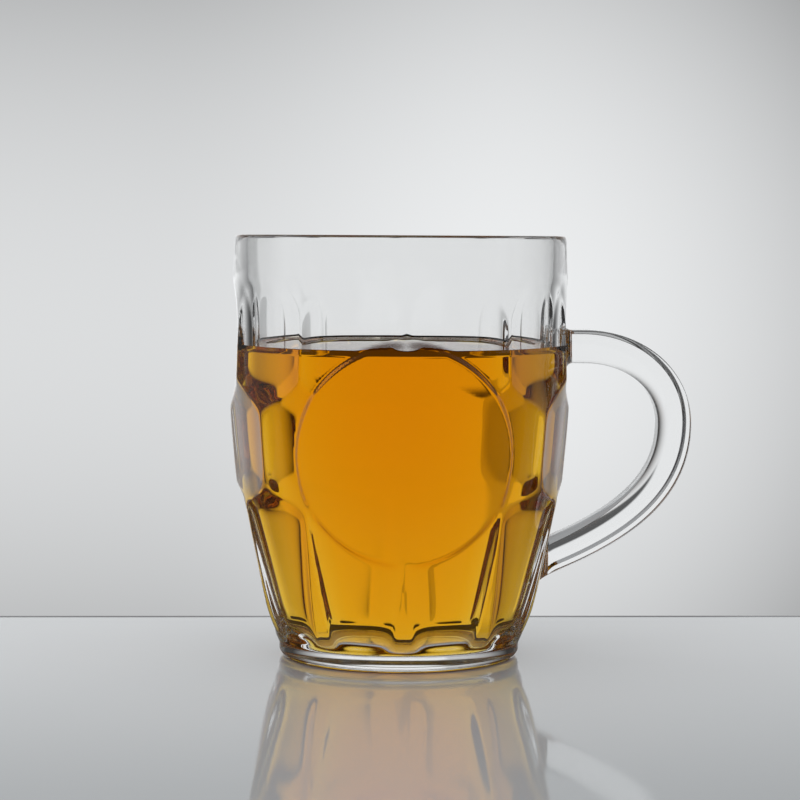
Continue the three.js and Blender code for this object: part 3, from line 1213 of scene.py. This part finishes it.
@dataclass
class Studio:
    """The pale table, the soft light and the backdrop round the mug."""

    table_half_width: float = 1400.0
    table_front: float = 2600.0
    table_rear: float = 58.5
    table_edge: float = 2.5
    table_drop: float = 0.05
    table_thickness: float = 12.0
    glow_elevation: float = -2.0
    glow_level: float = 0.86
    glow_up: float = 16.0
    left_band: Point = (5.0, -4.0)
    left_drop: float = 0.14
    right_start: float = 4.0
    right_reach: float = 15.3
    glow_fade: Point = (20.0, 60.0)
    least_level: float = 0.3
    mirror_azimuth: float = -8.0
    mirror_level: float = 1.0
    mirror_across: float = 60.0
    mirror_band: Point = (9.0, 15.0)
    mirror_drop: float = 0.6
    lobes: tuple[Lobe, ...] = (
        Lobe(centre=0.0, half_width=16.0, soft=42.0, level=0.85),
        Lobe(centre=90.0, half_width=16.0, soft=12.0, level=0.2),
        Lobe(centre=180.0, half_width=24.0, soft=12.0, level=0.4),
    )
    lobe_gap_level: float = 0.04
    ceiling_band: Point = (38.0, 58.0)
    ceiling_level: float = 0.02
    cellar_band: Point = (-10.0, -14.0)
    cellar_level: float = 0.1
    cellar_fade: Point = (20.0, 25.0)
    shade_band: Point = (-12.5, -14.5)
    shade: float = 0.68
    room_level: float = 0.015
    fill_level: float = 0.85
    room_edge: float = 0.15
    tint: tuple[float, float, float] = (0.985, 1.0, 1.01)
    lamp_place: tuple[float, float, float] = (0.0, -200.0, 1400.0)
    lamp_size: float = 1600.0
    lamp_power: float = 5.0
    top: TableFinish = TableFinish(
        "pale_table",
        colour=(0.37, 0.385, 0.395, 1.0),
        # Painted light and painted shadow levels that the table glows with where the glass shows it.
        shaded_colour=(0.32, 0.33, 0.34, 1.0),
        shadow_colour=(0.045, 0.045, 0.05, 1.0),
        roughness=0.06,
    )
    edge: TableFinish = TableFinish(
        "table_edge",
        colour=(0.1, 0.1, 0.11, 1.0),
        # Painted light level that the edge glows with where the glass shows it.
        shaded_colour=(0.05, 0.05, 0.05, 1.0),
        shadow_colour=(0.05, 0.05, 0.05, 1.0),
        roughness=0.3,
    )

    def lay_table(self) -> None:
        """Adds the table top, with its far edge close behind the mug."""
        Bench.clear()
        bpy.ops.mesh.primitive_plane_add(size=2.0 * MM)
        table = bpy.context.object
        table.name = "table"
        depth = self.table_front + self.table_rear
        middle = (self.table_rear - self.table_front) / 2.0
        bpy.ops.object.mode_set(mode="EDIT")
        bpy.ops.mesh.select_all(action="SELECT")
        bpy.ops.transform.resize(value=(self.table_half_width, depth / 2.0, 1.0), center_override=(0, 0, 0))
        bpy.ops.transform.translate(value=(0.0, middle * MM, -self.table_drop * MM))
        down = (0.0, 0.0, -self.table_thickness * MM)
        bpy.ops.mesh.extrude_region_move(TRANSFORM_OT_translate={"value": down})
        bpy.ops.mesh.select_all(action="SELECT")
        bpy.ops.mesh.normals_make_consistent(inside=False)
        start = self.table_rear - self.table_edge
        bpy.ops.mesh.bisect(plane_co=(0.0, start * MM, 0.0), plane_no=(0.0, 1.0, 0.0))
        bpy.ops.object.mode_set(mode="OBJECT")
        for finish in (self.top, self.edge):
            table.data.materials.append(finish.material())
        slots = (Bench.face_centres(table)[:, 1] > start).astype(np.int32)
        table.data.polygons.foreach_set("material_index", slots)

    def light(self) -> None:
        """Adds one broad soft lamp above, which glass and table do not mirror."""
        Bench.clear()
        bpy.ops.object.light_add(type="AREA", location=Vector(self.lamp_place) * MM)
        lamp = bpy.context.object
        lamp.name = "soft_lamp"
        lamp.data.shape = "DISK"
        lamp.data.size = self.lamp_size * MM
        lamp.data.energy = self.lamp_power
        lamp.visible_camera = False
        lamp.visible_glossy = False
        lamp.visible_transmission = False

    def surround(self) -> None:
        """Builds the world: a pale backdrop with a soft glow, and the darker room that glass sees."""
        world = bpy.data.worlds.new("studio")
        world.use_nodes = True
        bpy.context.scene.world = world
        graph = Graph(world.node_tree)
        place = graph.node("ShaderNodeTexCoord")
        split = graph.node("ShaderNodeSeparateXYZ")
        graph.feed(split.inputs["Vector"], place.outputs["Generated"])
        x, y, z = (split.outputs[axis] for axis in "XYZ")
        azimuth = graph.sum(Operation.ARCTAN2, x, y)
        elevation = graph.sum(Operation.ARCSINE, z)
        sky = Sky(graph, azimuth, elevation, graph.sum(Operation.ABSOLUTE, azimuth))
        backdrop = self.backdrop(sky)
        ceiling = graph.swept(elevation, *self.ceiling_band)
        through = graph.blend(ceiling, self.round_light(sky), self.ceiling_level)
        through = graph.blend(self.cellar(sky), through, self.cellar_level)
        behind = graph.ramp(y, self.room_edge, -self.room_edge)
        mirrored = graph.blend(behind, self.mirrored_backdrop(sky, backdrop), self.room_level)
        mirrored = graph.blend(ceiling, mirrored, self.ceiling_level)
        rays = graph.node("ShaderNodeLightPath")
        level = graph.blend(rays.outputs["Is Camera Ray"], self.fill_level, backdrop)
        level = graph.blend(rays.outputs["Is Glossy Ray"], level, mirrored)
        level = graph.blend(rays.outputs["Is Transmission Ray"], level, through)
        colour = graph.node("ShaderNodeCombineColor")
        for name, share in zip(("Red", "Green", "Blue"), self.tint):
            graph.feed(colour.inputs[name], graph.sum(Operation.MULTIPLY, level, share))
        glow = graph.node("ShaderNodeBackground")
        output = graph.node("ShaderNodeOutputWorld")
        graph.fill(glow, {"Color": colour.outputs["Color"], "Strength": 1.0})
        graph.feed(output.inputs["Surface"], glow.outputs["Background"])

    def cellar(self, sky: Sky) -> Socket:
        """Share of the dark that the glass sees below the backdrop, close to its middle."""
        depth = sky.graph.swept(sky.elevation, *self.cellar_band)
        width = sky.graph.swept(sky.aside, *self.cellar_fade, 1.0, 0.0)
        return sky.graph.sum(Operation.MULTIPLY, depth, width)

    def backdrop(self, sky: Sky) -> Socket:
        """Level of the pale backdrop, brightest behind the mug and a little right of it.

        Args:
            sky: The world's graph and its angles.

        Returns:
            The socket of the level.
        """
        graph = sky.graph
        left = graph.swept(sky.azimuth, *self.left_band, 0.0, self.left_drop)
        level = graph.sum(Operation.SUBTRACT, self.glow_level, left)
        right = graph.sum(Operation.SUBTRACT, sky.azimuth, math.radians(self.right_start))
        right = graph.sum(Operation.MAXIMUM, right, 0.0)
        above = graph.sum(Operation.SUBTRACT, sky.elevation, math.radians(self.glow_elevation))
        for away, reach in ((right, self.right_reach), (above, self.glow_up)):
            level = graph.sum(Operation.SUBTRACT, level, graph.bowed(away, reach))
        level = graph.sum(Operation.MAXIMUM, level, self.least_level)
        far = graph.swept(sky.aside, *self.glow_fade)
        return graph.blend(far, level, self.least_level)

    def mirrored_backdrop(self, sky: Sky, backdrop: Socket) -> Socket:
        """Level of the backdrop where table and glass mirror it, lit higher up than the camera sees.

        Args:
            sky: The world's graph and its angles.
            backdrop: Level that the camera sees.

        Returns:
            The socket of the level.
        """
        graph = sky.graph
        away = graph.sum(Operation.SUBTRACT, sky.azimuth, math.radians(self.mirror_azimuth))
        level = graph.sum(Operation.SUBTRACT, self.mirror_level, graph.bowed(away, self.mirror_across))
        above = graph.swept(sky.elevation, *self.mirror_band, 0.0, self.mirror_drop)
        return graph.sum(Operation.MAXIMUM, graph.sum(Operation.SUBTRACT, level, above), backdrop)

    def round_light(self, sky: Sky) -> Socket:
        """Level that the glass sees round about: lit lobes with dark gaps between them.

        Args:
            sky: The world's graph and its angles.

        Returns:
            The socket of the level.
        """
        graph = sky.graph
        level: object = self.lobe_gap_level
        for lobe in self.lobes:
            away = graph.sum(Operation.SUBTRACT, sky.aside, math.radians(lobe.centre))
            away = graph.sum(Operation.ABSOLUTE, away)
            lit = graph.swept(away, lobe.half_width, lobe.half_width + lobe.soft, lobe.level, 0.0)
            level = graph.sum(Operation.MAXIMUM, level, lit)
        shade = graph.swept(sky.azimuth, *self.shade_band, 1.0, self.shade)
        return graph.sum(Operation.MULTIPLY, level, shade)


@dataclass
class Viewpoint:
    """The camera at the photograph's viewing angle."""

    azimuth: float = -2.0
    distance: float = 590.0
    height: float = 103.0
    tilt: float = 3.9
    roll: float = 0.3
    lens: float = 108.2
    sensor_width: float = 36.0
    nearest: float = 10.0

    def set_up(self) -> None:
        """Adds the camera and makes it the scene's own."""
        Bench.clear()
        bpy.ops.object.camera_add()
        camera = bpy.context.object
        camera.name = "viewpoint"
        camera.data.lens = self.lens
        camera.data.sensor_width = self.sensor_width
        camera.data.clip_start = self.nearest * MM
        turn = math.radians(self.azimuth)
        away = self.distance * MM
        place = Vector((away * math.sin(turn), -away * math.cos(turn), self.height * MM))
        aim = (
            Matrix.Rotation(turn, 4, "Z")
            @ Matrix.Rotation(math.radians(90.0 - self.tilt), 4, "X")
            @ Matrix.Rotation(math.radians(self.roll), 4, "Z")
        )
        camera.matrix_world = Matrix.Translation(place) @ aim
        bpy.context.scene.camera = camera


def set_light_paths(scene: bpy.types.Scene) -> None:
    """Lets light pass all the walls of glass that stand one behind the other."""
    scene.view_settings.view_transform = "Standard"
    scene.cycles.max_bounces = GLASS_BOUNCES
    scene.cycles.transmission_bounces = GLASS_BOUNCES
    scene.cycles.glossy_bounces = GLOSSY_BOUNCES
    scene.cycles.blur_glossy = 0.0


def main() -> None:
    """Builds the mug and its studio."""
    logging.basicConfig(level=logging.INFO, format="%(name)s: %(message)s")
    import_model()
    Bench.clear()
    set_light_paths(bpy.context.scene)
    bowl = Bowl()
    handle = Handle(bowl)
    drink = Drink(bowl)
    bowl.dress(bowl.build(), handle, drink)
    handle.dress(handle.build())
    drink.dress(drink.build())
    studio = Studio()
    studio.lay_table()
    studio.light()
    studio.surround()
    Viewpoint().set_up()


if __name__ == "__main__":
    main()
